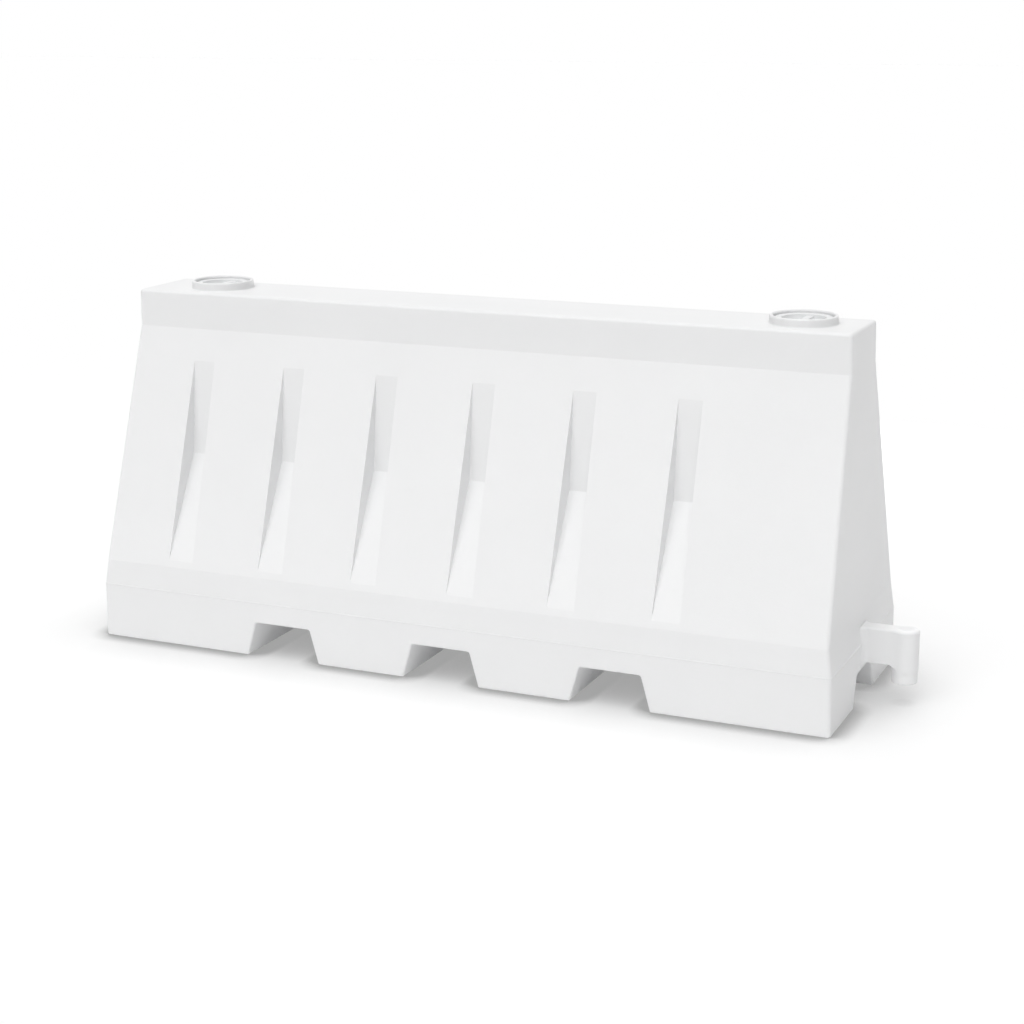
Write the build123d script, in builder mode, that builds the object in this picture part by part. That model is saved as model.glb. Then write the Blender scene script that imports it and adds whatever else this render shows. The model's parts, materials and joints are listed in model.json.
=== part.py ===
from build123d import *
import math
import os

# Water-filled plastic safety barrier: a hollow moulding with screw plugs on top and drains behind.
# Millimetres, +Z up. The origin is on the ground under the middle of the outline, lug included.
# +X runs along the barrier towards the lug and +Y towards the back.

# Body outline, without the lug and the collars
body_length = 2000.0
base_width = 612.0
top_width = 226.0
body_height = 912.0
plinth_height = 145.0
shoulder_height = 66.0
top_band_height = 96.0
shoulder_inset = 5.0
plinth_end_inset = 2.0
shoulder_end_inset = 11.0
band_end_inset = 28.0
top_end_inset = 30.0
wall = 5.0
corner_radius = 10.0
top_radius = 8.0
foot_radius = 5.0

# Flutes in both long faces, released sideways from the mould
flute_count = 6
flute_pitch = 270.0
flute_shift = -84.0
flute_width = 73.0
flute_depth = 52.0
flute_draft = 2.0
flute_top_gap = 81.0
flute_foot_gap = 17.0
flute_crease_drop = 244.0

# Fork tunnels through the plinth
tunnel_count = 3
tunnel_pitch = 453.0
tunnel_foot_width = 208.0
tunnel_roof_width = 158.0
tunnel_height = 90.0
tunnel_radius = 8.0

# Cut-out under the coupling at each end
pocket_foot_width = 192.0
pocket_roof_width = 130.0
pocket_height = 78.0
pocket_depth = 165.0
pocket_radius = 16.0

# Coupling lug on the right end, and the keyhole socket for the next barrier's lug on the left
lug_reach = 99.0
lug_top = 187.0
lug_wall = 6.0
lug_edge_radius = 5.0
lug_root_depth = 20.0
lug_root_sink = 0.3
pin_diameter = 64.0
pin_relief = 1.0
pin_bottom = 54.0
pin_blend = 60.0
arm_width = 48.0
arm_bottom = 100.0
arm_root_blend = 18.0
arch_radius = 16.0
arch_bite = 24.0
dish_diameter = 40.0
dish_depth = 3.5
socket_clearance = 2.0
slot_clearance = 4.0
socket_headroom = 8.0
joint_gap = 12.0

# Filling necks: a collar, a recess, a seat and a threaded sleeve
neck_from_left = 221.0
neck_from_right = 178.0
collar_diameter = 164.0
collar_height = 21.0
collar_rim = 9.0
collar_rim_radius = 4.0
collar_base_blend = 4.0
recess_depth = 16.0
fill_bore = 124.0
fill_sleeve_length = 26.0

# Filling plugs and their seals
fill_seal_thickness = 3.0
fill_seal_width = 6.0
fill_flange_thickness = 6.0
fill_flange_clearance = 3.0
fill_thread_clearance = 0.4
fill_shank_length = 16.0
fill_cup_wall = 9.0
fill_cup_floor = 5.0
fill_grip_width = 18.0
fill_grip_drop = 4.0
fill_edge_radius = 2.0

# Drains, in pockets behind the two outer feet
drain_from_end = 222.0
drain_z = 62.0
drain_recess_width = 140.0
drain_recess_height = 84.0
drain_recess_depth = 25.0
drain_recess_radius = 14.0
drain_recess_draft = 4.0
bush_diameter = 58.0
bush_bore = 44.0
bush_length = 30.0
bush_flange_diameter = 74.0
bush_flange_thickness = 4.0
bush_collar_diameter = 66.0
drain_seal_thickness = 2.5
drain_seal_width = 8.0
drain_thread_clearance = 0.4
drain_shank_length = 18.0
drain_head_diameter = 66.0
drain_head_thickness = 6.0
drain_grip_length = 54.0
drain_grip_width = 12.0
drain_grip_height = 11.0
drain_core_wall = 6.0
drain_edge_radius = 2.0

# Clearance between a moulded-in bush and its wall, the smallest inner corner, how far cutters overrun a face,
# how many times their own length the flute's facets run, and how near to its place a picked edge lies
bush_gap = 0.05
least_radius = 1.0
overrun = 20.0
facet_overrun = 1.1
edge_tolerance = 1.0

# Levels and widths that follow from the sizes above
shoulder_top = plinth_height + shoulder_height
band_bottom = body_height - top_band_height
half_shoulder = base_width / 2 - shoulder_inset
face_lean = (half_shoulder - top_width / 2) / (band_bottom - shoulder_top)
half_length = body_length / 2
pin_radius = pin_diameter / 2
centre_x = -(lug_reach + pin_radius) / 2
rear_y = base_width / 2
pin_x = half_length + lug_reach
plinth_end_x = half_length - plinth_end_inset
lug_root_x = plinth_end_x - lug_root_sink
end_lean = (shoulder_end_inset - plinth_end_inset) / shoulder_height
lug_root_width = arm_width + 4 * arm_root_blend
lug_space_top = lug_top - dish_depth - lug_wall
arch_foot = arm_bottom - arch_radius
arch_start = half_length - plinth_end_inset * arm_bottom / plinth_height
arch_span = pin_x - pin_radius + arch_bite - arch_start
recess_radius = collar_diameter / 2 - collar_rim
rim_z = body_height + collar_height
neck_left_x = neck_from_left - half_length
neck_right_x = half_length - neck_from_right
neck_places = [(centre_x + x, 0, rim_z) for x in (neck_left_x, neck_right_x)]
hang_down = (Align.CENTER, Align.CENTER, Align.MAX)
seat_z = rim_z - recess_depth
fill_shank_radius = fill_bore / 2 - fill_thread_clearance
fill_flange_radius = recess_radius - fill_flange_clearance
fill_flange_top = fill_seal_thickness + fill_flange_thickness
fill_cup_radius = fill_shank_radius - fill_cup_wall
fill_floor_top = fill_cup_floor - fill_shank_length
bush_inner_end = bush_flange_thickness - bush_length
drain_shank_radius = bush_bore / 2 - drain_thread_clearance
drain_core_radius = drain_shank_radius - drain_core_wall
drain_head_seat = bush_flange_thickness + drain_seal_thickness
drain_head_top = drain_head_seat + drain_head_thickness
drain_x = half_length - drain_from_end
drain_floor_y = rear_y - drain_recess_depth
drain_planes = [Plane(origin=(centre_x + x, drain_floor_y, drain_z), x_dir=(1, 0, 0), z_dir=(0, 1, 0))
                for x in (-drain_x, drain_x)]

# Working planes through the middle of the body: across it, along it, and flat
cross_plane = Plane(origin=(centre_x, 0, 0), x_dir=(0, 1, 0), z_dir=(1, 0, 0))
long_plane = Plane(origin=(centre_x, 0, 0), x_dir=(1, 0, 0), z_dir=(0, -1, 0))
flat_plane = Plane(origin=(centre_x, 0, 0))

# Each level of the body: height, half width and half length
levels = [
    (0, base_width / 2, half_length),
    (plinth_height, base_width / 2, half_length - plinth_end_inset),
    (shoulder_top, half_shoulder, half_length - shoulder_end_inset),
    (band_bottom, top_width / 2, half_length - band_end_inset),
    (body_height, top_width / 2, half_length - top_end_inset),
]


def solid_block(inset, radius):
    """The body as a plain block with rounded corners, with every face moved in by at least inset."""
    side_inset = inset * math.hypot(1, face_lean)
    with BuildPart() as block:
        for height, half_width, half_span in levels:
            with BuildSketch(flat_plane.offset(min(max(height, inset), body_height - inset))):
                RectangleRounded(2 * (half_span - side_inset), 2 * (half_width - side_inset), radius)
        loft(ruled=True)
    return block.part


def face_y(z):
    """Distance of the sloping face from the middle at height z."""
    return half_shoulder - face_lean * (z - shoulder_top)


def flute_set(grow):
    """Every flute of both long faces, with its walls moved out by grow."""
    top_z = band_bottom - flute_top_gap
    foot_z = shoulder_top + flute_foot_gap
    crease = Vector(-(face_y(top_z - flute_crease_drop) - flute_depth), top_z - flute_crease_drop)
    top = crease + (Vector(-face_y(top_z), top_z) - crease) * facet_overrun
    foot = crease + (Vector(-face_y(foot_z), foot_z) - crease) * facet_overrun
    mouth_plane = Plane(origin=(centre_x, -rear_y, 0), x_dir=(1, 0, 0), z_dir=(0, 1, 0))
    with BuildPart() as flute:
        with BuildSketch(cross_plane):
            with BuildLine():
                Polyline((top.X, top.Y), (crease.X, crease.Y), (foot.X, foot.Y),
                         (-base_width, foot.Y), (-base_width, top.Y), close=True)
            make_face()
            if grow:
                offset(amount=grow, kind=Kind.INTERSECTION, mode=Mode.REPLACE)
        extrude(amount=flute_width, both=True)
        with BuildSketch(mouth_plane):
            Rectangle(flute_width + 2 * grow, 2 * body_height)
        extrude(amount=rear_y, taper=flute_draft, mode=Mode.INTERSECT)
    with BuildPart() as flutes:
        with Locations((flute_shift, 0)):
            with GridLocations(flute_pitch, 0, flute_count, 1):
                add(flute.part)
        mirror(about=Plane.XZ)
    return flutes.part


def fork_tunnels(grow):
    """The fork tunnels, with their walls moved out by grow."""
    flare = overrun * (tunnel_foot_width - tunnel_roof_width) / 2 / tunnel_height
    with BuildPart() as tunnels:
        with BuildSketch(long_plane) as mouths:
            with GridLocations(tunnel_pitch, 0, tunnel_count, 1):
                Polygon((-tunnel_foot_width / 2 - flare, -overrun), (tunnel_foot_width / 2 + flare, -overrun),
                        (tunnel_roof_width / 2, tunnel_height), (-tunnel_roof_width / 2, tunnel_height),
                        align=None)
            fillet(mouths.vertices().group_by(Axis.Y)[-1], radius=tunnel_radius)
            if grow:
                offset(amount=grow, kind=Kind.INTERSECTION, mode=Mode.REPLACE)
        extrude(amount=base_width, both=True)
    return tunnels.part


def end_pockets(grow):
    """The cut-outs between the feet at both ends, with their walls moved out by grow."""
    flare = overrun * (pocket_foot_width - pocket_roof_width) / 2 / pocket_height
    with BuildPart() as pockets:
        with BuildSketch(cross_plane.offset(half_length - pocket_depth - grow)) as mouth:
            Polygon((-pocket_foot_width / 2 - flare, -overrun), (pocket_foot_width / 2 + flare, -overrun),
                    (pocket_roof_width / 2, pocket_height), (-pocket_roof_width / 2, pocket_height),
                    align=None)
            fillet(mouth.vertices().group_by(Axis.Y)[-1], radius=pocket_radius)
            if grow:
                offset(amount=grow, kind=Kind.INTERSECTION, mode=Mode.REPLACE)
        extrude(amount=pocket_depth + grow + overrun)
        mirror(about=cross_plane)
    return pockets.part


def coupling_socket(grow):
    """The keyhole that drops over the next barrier's lug, with its walls moved out by grow."""
    axis_x = -half_length + lug_reach - joint_gap
    slot_length = lug_reach - joint_gap + overrun
    with BuildPart() as socket:
        with BuildSketch(flat_plane):
            with Locations((axis_x, 0)):
                Circle(pin_radius + socket_clearance + grow)
                Rectangle(slot_length, arm_width + 2 * (slot_clearance + grow), align=(Align.MAX, Align.CENTER))
        extrude(amount=lug_top + socket_headroom + grow)
    return socket.part


def drain_recesses(grow):
    """The drain pockets behind the outer feet, with their walls moved out by grow."""
    with BuildPart() as recesses:
        with BuildSketch(*[plane.offset(-grow) for plane in drain_planes]):
            RectangleRounded(drain_recess_width + 2 * grow, drain_recess_height + 2 * grow,
                             drain_recess_radius + grow)
        extrude(amount=drain_recess_depth + grow + overrun, taper=-drain_recess_draft)
    return recesses.part


def is_mouth_edge(edge):
    """Whether an edge runs round the mouth of a fork tunnel, an end pocket or a drain pocket, above the ground."""
    corners = edge.vertices()
    above = edge.center().Z > edge_tolerance
    low = max(corner.Z for corner in corners) < plinth_height - edge_tolerance
    on_side = all(abs(abs(corner.Y) - rear_y) < edge_tolerance for corner in corners)
    end_x = plinth_end_x - edge_tolerance
    on_end = all(abs(corner.X - centre_x) > end_x for corner in corners)
    inside = all(abs(corner.Y) < pocket_foot_width / 2 + edge_tolerance for corner in corners)
    return above and low and (on_side or on_end and inside)


# Coupling lug: an arm that flows into the leaning end and into a hanging pin, which has a slimmer free end
root_rise = Vector(-end_lean, 0, 1)
with BuildPart() as lug:
    with BuildSketch(flat_plane.offset(plinth_height)) as root:
        with Locations((lug_root_x, 0)):
            Rectangle(2 * arm_root_blend, arm_width, align=(Align.MIN, Align.CENTER))
            Rectangle(lug_root_depth, lug_root_width, align=(Align.MAX, Align.CENTER))
        fillet(root.vertices().filter_by(lambda v: abs(v.X - lug_root_x) < edge_tolerance and abs(v.Y) < arm_width),
               radius=arm_root_blend)
    extrude(amount=arch_foot - plinth_height)
    extrude(root.sketch, amount=(lug_top - plinth_height) * root_rise.length, dir=root_rise)
    with BuildSketch(flat_plane.offset(arch_foot)) as plan:
        with Locations((pin_x, 0)):
            Rectangle(lug_reach + lug_root_depth, arm_width, align=(Align.MAX, Align.CENTER))
            Circle(pin_radius)
        fillet(plan.vertices().filter_by(lambda v: v.X > half_length + arm_root_blend), radius=pin_blend)
    extrude(amount=lug_top - arch_foot)
    with BuildSketch(long_plane):
        with Locations((arch_start, arm_bottom)):
            RectangleRounded(arch_span, lug_top, arch_radius, align=(Align.MIN, Align.MAX))
    extrude(amount=lug_root_width, both=True, mode=Mode.SUBTRACT)
    with BuildSketch(flat_plane.offset(arch_foot)):
        with Locations((pin_x, 0)):
            Circle(pin_radius)
    extrude(amount=lug_top - arch_foot)
    with BuildSketch(flat_plane.offset(pin_bottom)):
        with Locations((pin_x, 0)):
            Circle(pin_radius - pin_relief)
    extrude(amount=arch_foot - pin_bottom)
    fillet(lug.faces().sort_by(Axis.Z)[-1].outer_wire().edges(), radius=lug_edge_radius)
    fillet(lug.faces().sort_by(Axis.Z)[0].edges(), radius=lug_edge_radius)
    dish_radius = (dish_diameter ** 2 / 4 + dish_depth ** 2) / (2 * dish_depth)
    with Locations((centre_x + pin_x, 0, lug_top - dish_depth + dish_radius)):
        Sphere(dish_radius, mode=Mode.SUBTRACT)

os.makedirs("parts", exist_ok=True)

# The water space inside the shell, which also runs into the lug
with BuildPart() as water_space:
    add(solid_block(wall, max(corner_radius - wall, least_radius)))
    for cutter in (flute_set, fork_tunnels, end_pockets, coupling_socket, drain_recesses):
        add(cutter(wall), mode=Mode.SUBTRACT)
    with Locations(*neck_places):
        Cylinder(recess_radius + wall, recess_depth + wall, align=hang_down, mode=Mode.SUBTRACT)
        Cylinder(fill_bore / 2 + wall, recess_depth + fill_sleeve_length, align=hang_down, mode=Mode.SUBTRACT)
    with Locations((centre_x + pin_x, 0, lug_space_top)):
        Cylinder(pin_radius - lug_wall, lug_space_top - pin_bottom - lug_wall, align=hang_down)
        Box(lug_reach + lug_root_depth, arm_width - 2 * lug_wall, lug_space_top - arm_bottom - lug_wall,
            align=(Align.MAX, Align.CENTER, Align.MAX))

# The hollow shell
with BuildPart() as shell:
    add(solid_block(0, corner_radius))
    fillet(shell.faces().sort_by(Axis.Z)[-1].edges(), radius=top_radius)
    for cutter in (flute_set, fork_tunnels, end_pockets, drain_recesses):
        add(cutter(0), mode=Mode.SUBTRACT)
    foot_edges = shell.faces().filter_by(Axis.Z).group_by(Axis.Z)[0].edges()
    fillet(foot_edges + shell.edges().filter_by(is_mouth_edge), radius=foot_radius)
    add(coupling_socket(0), mode=Mode.SUBTRACT)
    with Locations(*neck_places):
        Cylinder(collar_diameter / 2, collar_height + wall, align=hang_down)
    top_circles = shell.edges().filter_by(GeomType.CIRCLE).filter_by(Plane.XY)
    collar_feet = top_circles.filter_by_position(Axis.Z, body_height - edge_tolerance, body_height + edge_tolerance)
    fillet(collar_feet, radius=collar_base_blend)
    add(lug.part)
    add(water_space.part, mode=Mode.SUBTRACT)
    with Locations(*neck_places):
        CounterBoreHole(fill_bore / 2, recess_radius, recess_depth, recess_depth + fill_sleeve_length)
    fillet(shell.faces().filter_by(Axis.Z).group_by(Axis.Z)[-1].edges(), radius=collar_rim_radius)
    with Locations(*drain_planes):
        Hole(bush_diameter / 2 + bush_gap, depth=wall + overrun)
shell.part.label = "barrier_shell"
export_step(shell.part, "parts/barrier_shell.step")

# Filling plugs, which seat on flat seals in the necks' recesses
for side, neck_x in (("left", neck_left_x), ("right", neck_right_x)):
    neck_plane = Plane(origin=(centre_x + neck_x, 0, seat_z), x_dir=(1, 0, 0), z_dir=(0, -1, 0))
    neck_axis = Axis((centre_x + neck_x, 0, 0), (0, 0, 1))

    with BuildPart() as fill_seal:
        with BuildSketch(neck_plane):
            with Locations((fill_bore / 2, 0)):
                Rectangle(fill_seal_width, fill_seal_thickness, align=(Align.MIN, Align.MIN))
        revolve(axis=neck_axis)
    fill_seal.part.label = f"fill_seal_{side}"
    export_step(fill_seal.part, f"parts/fill_seal_{side}.step")

    with BuildPart() as fill_plug:
        with BuildSketch(neck_plane):
            with BuildLine():
                Polyline((0, -fill_shank_length), (fill_shank_radius, -fill_shank_length),
                         (fill_shank_radius, fill_seal_thickness), (fill_flange_radius, fill_seal_thickness),
                         (fill_flange_radius, fill_flange_top), (fill_cup_radius, fill_flange_top),
                         (fill_cup_radius, fill_floor_top), (0, fill_floor_top), close=True)
            make_face()
        revolve(axis=neck_axis)
        rim_edges = fill_plug.faces().filter_by(Axis.Z).sort_by(Axis.Z)[-1].edges()
        fillet(rim_edges, radius=fill_edge_radius)
        chamfer(fill_plug.faces().filter_by(Axis.Z).sort_by(Axis.Z)[0].edges(), length=fill_edge_radius)
        with BuildSketch(Plane.XY.offset(seat_z + fill_floor_top)):
            with Locations((centre_x + neck_x, 0)):
                Rectangle(fill_grip_width, 2 * fill_cup_radius + fill_edge_radius)
        extrude(amount=fill_flange_top - fill_grip_drop - fill_floor_top)
        grip_top = fill_plug.faces().filter_by(Axis.Z).group_by(Axis.Z)[-2]
        fillet(grip_top.edges().filter_by(Axis.Y), radius=fill_edge_radius)
    fill_plug.part.label = f"fill_plug_{side}"
    export_step(fill_plug.part, f"parts/fill_plug_{side}.step")

# Drains: a bush moulded into the recess wall, a washer and a wing plug, one set in each outer foot
for side, drain_plane in zip(("left", "right"), drain_planes):
    profile_plane = Plane(origin=drain_plane.origin, x_dir=(1, 0, 0), z_dir=(0, 0, 1))
    drain_axis = Axis(drain_plane.origin, (0, 1, 0))

    with BuildPart() as drain_bush:
        with BuildSketch(profile_plane):
            with BuildLine():
                Polyline((bush_bore / 2, bush_flange_thickness), (bush_flange_diameter / 2, bush_flange_thickness),
                         (bush_flange_diameter / 2, 0), (bush_diameter / 2, 0), (bush_diameter / 2, -wall),
                         (bush_collar_diameter / 2, -wall), (bush_collar_diameter / 2, -wall - bush_flange_thickness),
                         (bush_diameter / 2, -wall - bush_flange_thickness), (bush_diameter / 2, bush_inner_end),
                         (bush_bore / 2, bush_inner_end), close=True)
            make_face()
        revolve(axis=drain_axis)
    drain_bush.part.label = f"drain_bush_{side}"
    export_step(drain_bush.part, f"parts/drain_bush_{side}.step")

    with BuildPart() as drain_seal:
        with BuildSketch(profile_plane):
            with Locations((bush_bore / 2, bush_flange_thickness)):
                Rectangle(drain_seal_width, drain_seal_thickness, align=(Align.MIN, Align.MIN))
        revolve(axis=drain_axis)
    drain_seal.part.label = f"drain_seal_{side}"
    export_step(drain_seal.part, f"parts/drain_seal_{side}.step")

    with BuildPart() as drain_plug:
        with BuildSketch(profile_plane):
            with BuildLine():
                Polyline((drain_core_radius, bush_flange_thickness - drain_shank_length),
                         (drain_shank_radius, bush_flange_thickness - drain_shank_length),
                         (drain_shank_radius, drain_head_seat), (drain_head_diameter / 2, drain_head_seat),
                         (drain_head_diameter / 2, drain_head_top), (0, drain_head_top), (0, drain_head_seat),
                         (drain_core_radius, drain_head_seat), close=True)
            make_face()
        revolve(axis=drain_axis)
        fillet(drain_plug.faces().filter_by(Axis.Y).sort_by(Axis.Y)[-1].edges(), radius=drain_edge_radius)
        with BuildSketch(drain_plane.offset(drain_head_top)):
            SlotOverall(drain_grip_length, drain_grip_width, rotation=90)
        extrude(amount=drain_grip_height)
        fillet(drain_plug.faces().filter_by(Axis.Y).sort_by(Axis.Y)[-1].edges(), radius=drain_edge_radius)
    drain_plug.part.label = f"drain_plug_{side}"
    export_step(drain_plug.part, f"parts/drain_plug_{side}.step")
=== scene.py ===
import json
import math

import bmesh
import bpy
from bpy.props import FloatProperty, FloatVectorProperty, IntProperty, PointerProperty
from mathutils import Matrix, Vector


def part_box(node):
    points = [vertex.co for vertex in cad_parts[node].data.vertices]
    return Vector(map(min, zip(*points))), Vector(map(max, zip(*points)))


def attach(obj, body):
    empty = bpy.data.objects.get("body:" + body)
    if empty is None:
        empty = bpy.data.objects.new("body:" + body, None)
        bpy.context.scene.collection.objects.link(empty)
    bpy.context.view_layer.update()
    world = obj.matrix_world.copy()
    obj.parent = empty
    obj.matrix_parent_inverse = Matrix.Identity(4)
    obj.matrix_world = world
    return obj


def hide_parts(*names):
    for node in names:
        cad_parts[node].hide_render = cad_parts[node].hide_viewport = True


bl_info = {
    "name": "Water-filled safety barrier",
    "version": (1, 0, 0),
    "blender": (4, 5, 0),
    "location": "3D View > Sidebar > Barrier",
    "description": "Dresses a moulded plastic road barrier: finishes, threads, plugs and a studio stage",
    "category": "Object",
}

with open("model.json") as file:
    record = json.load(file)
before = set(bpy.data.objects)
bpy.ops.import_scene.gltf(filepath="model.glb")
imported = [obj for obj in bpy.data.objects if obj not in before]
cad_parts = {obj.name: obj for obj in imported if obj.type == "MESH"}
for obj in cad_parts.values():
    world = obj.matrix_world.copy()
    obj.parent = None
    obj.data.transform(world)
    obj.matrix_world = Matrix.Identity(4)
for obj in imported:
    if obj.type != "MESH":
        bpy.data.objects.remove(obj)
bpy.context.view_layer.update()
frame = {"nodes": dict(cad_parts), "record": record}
SIDES = ("left", "right")
UPRIGHT = Matrix.Identity(4)
BACKWARD = Matrix.Rotation(-math.pi / 2, 4, "X")
WHITE = (1.0, 1.0, 1.0, 1.0)
NOISE_MIDDLE = 0.5
COLOUR_RESULT = 2
SHARP_EDGE = math.radians(32)
SAME_SPOT = 1e-7

# How finely round shapes are drawn, and how often a shade is sampled
EDGE_STEPS = 5
CORNER_STEPS = 8
FILL_STEPS = 128
DRAIN_STEPS = 96
LUG_STEPS = 12
THREAD_STEPS = 96
RIB_SIDES = 10
BEAD_SIDES = 12
SHADE_SAMPLES = 8


class ShellSizes(bpy.types.PropertyGroup):
    """Finish of the hollow shell, its parting bead and the corner under its lug."""

    colour: FloatVectorProperty(
        name="Plastic", description="Colour of the moulded shell", subtype="COLOR",
        default=(0.86, 0.862, 0.865))
    shade: FloatVectorProperty(
        name="Plastic shade", description="Colour of the duller clouds in the plastic", subtype="COLOR",
        default=(0.83, 0.833, 0.837))
    roughness: FloatProperty(
        name="Roughness", description="Middle roughness of the satin surface", subtype="FACTOR", default=0.42)
    grain: FloatProperty(
        name="Grain depth", description="Depth of the mould grain", unit="LENGTH", default=0.0003)
    bead_level: FloatProperty(
        name="Bead level", description="Height of the parting bead above the ground", unit="LENGTH",
        default=0.145)
    bead_inset: FloatProperty(
        name="Bead inset", description="How far the ends lean in at the bead's level", unit="LENGTH",
        default=0.002)
    bead_radius: FloatProperty(
        name="Bead radius", description="Radius of the parting bead", unit="LENGTH", default=0.0012)
    bead_corner: FloatProperty(
        name="Bead corner", description="Radius of the body's upright corners", unit="LENGTH", default=0.01)
    body_length: FloatProperty(
        name="Body length", description="Length of the body without the lug", unit="LENGTH", default=2.0)
    slot_width: FloatProperty(
        name="Slot width", description="Width of the socket's slot, where the bead stops", unit="LENGTH",
        default=0.056)
    pin_radius: FloatProperty(
        name="Pin radius", description="Radius of the lug's pin", unit="LENGTH", default=0.032)
    arm_width: FloatProperty(
        name="Arm width", description="Width of the lug's arm", unit="LENGTH", default=0.048)
    arm_flow: FloatProperty(
        name="Arm flow", description="Radius by which the arm's sides flow out to the pin", unit="LENGTH",
        default=0.06)
    arm_inset: FloatProperty(
        name="Arm inset", description="How far the rounded corner stays inside the arm's sides",
        unit="LENGTH", default=0.0003)
    arm_under: FloatProperty(
        name="Arm underside", description="Height of the arm's underside above the ground", unit="LENGTH",
        default=0.1)
    arm_corner: FloatProperty(
        name="Arm corner", description="Radius of the corner where the arm meets the pin", unit="LENGTH",
        default=0.014)
    corner_sunk: FloatProperty(
        name="Corner sunk", description="How far that corner is sunk into the arm and the pin",
        unit="LENGTH", default=0.0014)


class FillSizes(bpy.types.PropertyGroup):
    """Filling plugs and the threads of their necks."""

    colour: FloatVectorProperty(
        name="Plug plastic", description="Colour of the filling plugs", subtype="COLOR",
        default=(0.82, 0.825, 0.83))
    shade: FloatVectorProperty(
        name="Plug shade", description="Colour of the duller clouds in the plugs", subtype="COLOR",
        default=(0.78, 0.786, 0.792))
    roughness: FloatProperty(
        name="Roughness", description="Middle roughness of the plugs", subtype="FACTOR", default=0.45)
    grain: FloatProperty(
        name="Grain depth", description="Depth of the plugs' mould grain", unit="LENGTH", default=0.0002)
    bore: FloatProperty(
        name="Bore radius", description="Radius of the neck's bore", unit="LENGTH", default=0.062)
    root: FloatProperty(
        name="Root radius", description="Radius of the plug's shank between the thread's ridges",
        unit="LENGTH", default=0.0598)
    sleeve: FloatProperty(
        name="Sleeve length", description="Length of the neck's threaded sleeve", unit="LENGTH",
        default=0.026)
    starts: IntProperty(
        name="Thread starts", description="Number of ridges that start round the thread", default=3)
    ridge: FloatProperty(
        name="Ridge height", description="Height of a thread ridge", unit="LENGTH", default=0.0014)
    ridge_foot: FloatProperty(
        name="Ridge foot", description="Width of a thread ridge at its foot", unit="LENGTH", default=0.0021)
    cup: FloatProperty(
        name="Cup radius", description="Radius of the plug's cup", unit="LENGTH", default=0.0526)
    cup_taper: FloatProperty(
        name="Cup taper", description="How much the cup's radius narrows to its floor", unit="LENGTH",
        default=0.002)
    floor: FloatProperty(
        name="Cup floor", description="Thickness of the cup's floor", unit="LENGTH", default=0.005)
    bar: FloatProperty(
        name="Grip width", description="Width of the grip bar across the cup", unit="LENGTH", default=0.018)
    bar_corner: FloatProperty(
        name="Grip corner", description="Radius of the grip bar's upright corners", unit="LENGTH",
        default=0.002)
    bar_drop: FloatProperty(
        name="Grip drop", description="How far the grip bar stays below the flange", unit="LENGTH",
        default=0.004)
    bar_sunk: FloatProperty(
        name="Grip sunk", description="How far the grip bar is sunk into the cup's floor", unit="LENGTH",
        default=0.001)
    edge: FloatProperty(
        name="Rim radius", description="Radius of the flange's outer and inner rim", unit="LENGTH",
        default=0.002)
    soft_edge: FloatProperty(
        name="Soft radius", description="Radius round the cup's floor and along the grip bar",
        unit="LENGTH", default=0.003)
    foot_edge: FloatProperty(
        name="Foot radius", description="Radius round the plug's foot", unit="LENGTH", default=0.001)
    crisp_edge: FloatProperty(
        name="Crisp radius", description="Radius of the edge under the flange", unit="LENGTH",
        default=0.0005)
    ribs: IntProperty(
        name="Rim ribs", description="Number of grip ribs round the flange", default=72)
    rib_radius: FloatProperty(
        name="Rib radius", description="Radius of a grip rib", unit="LENGTH", default=0.0011)
    rib_stop: FloatProperty(
        name="Rib stop", description="How far the ribs stop below the flange's top", unit="LENGTH",
        default=0.0025)


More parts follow.
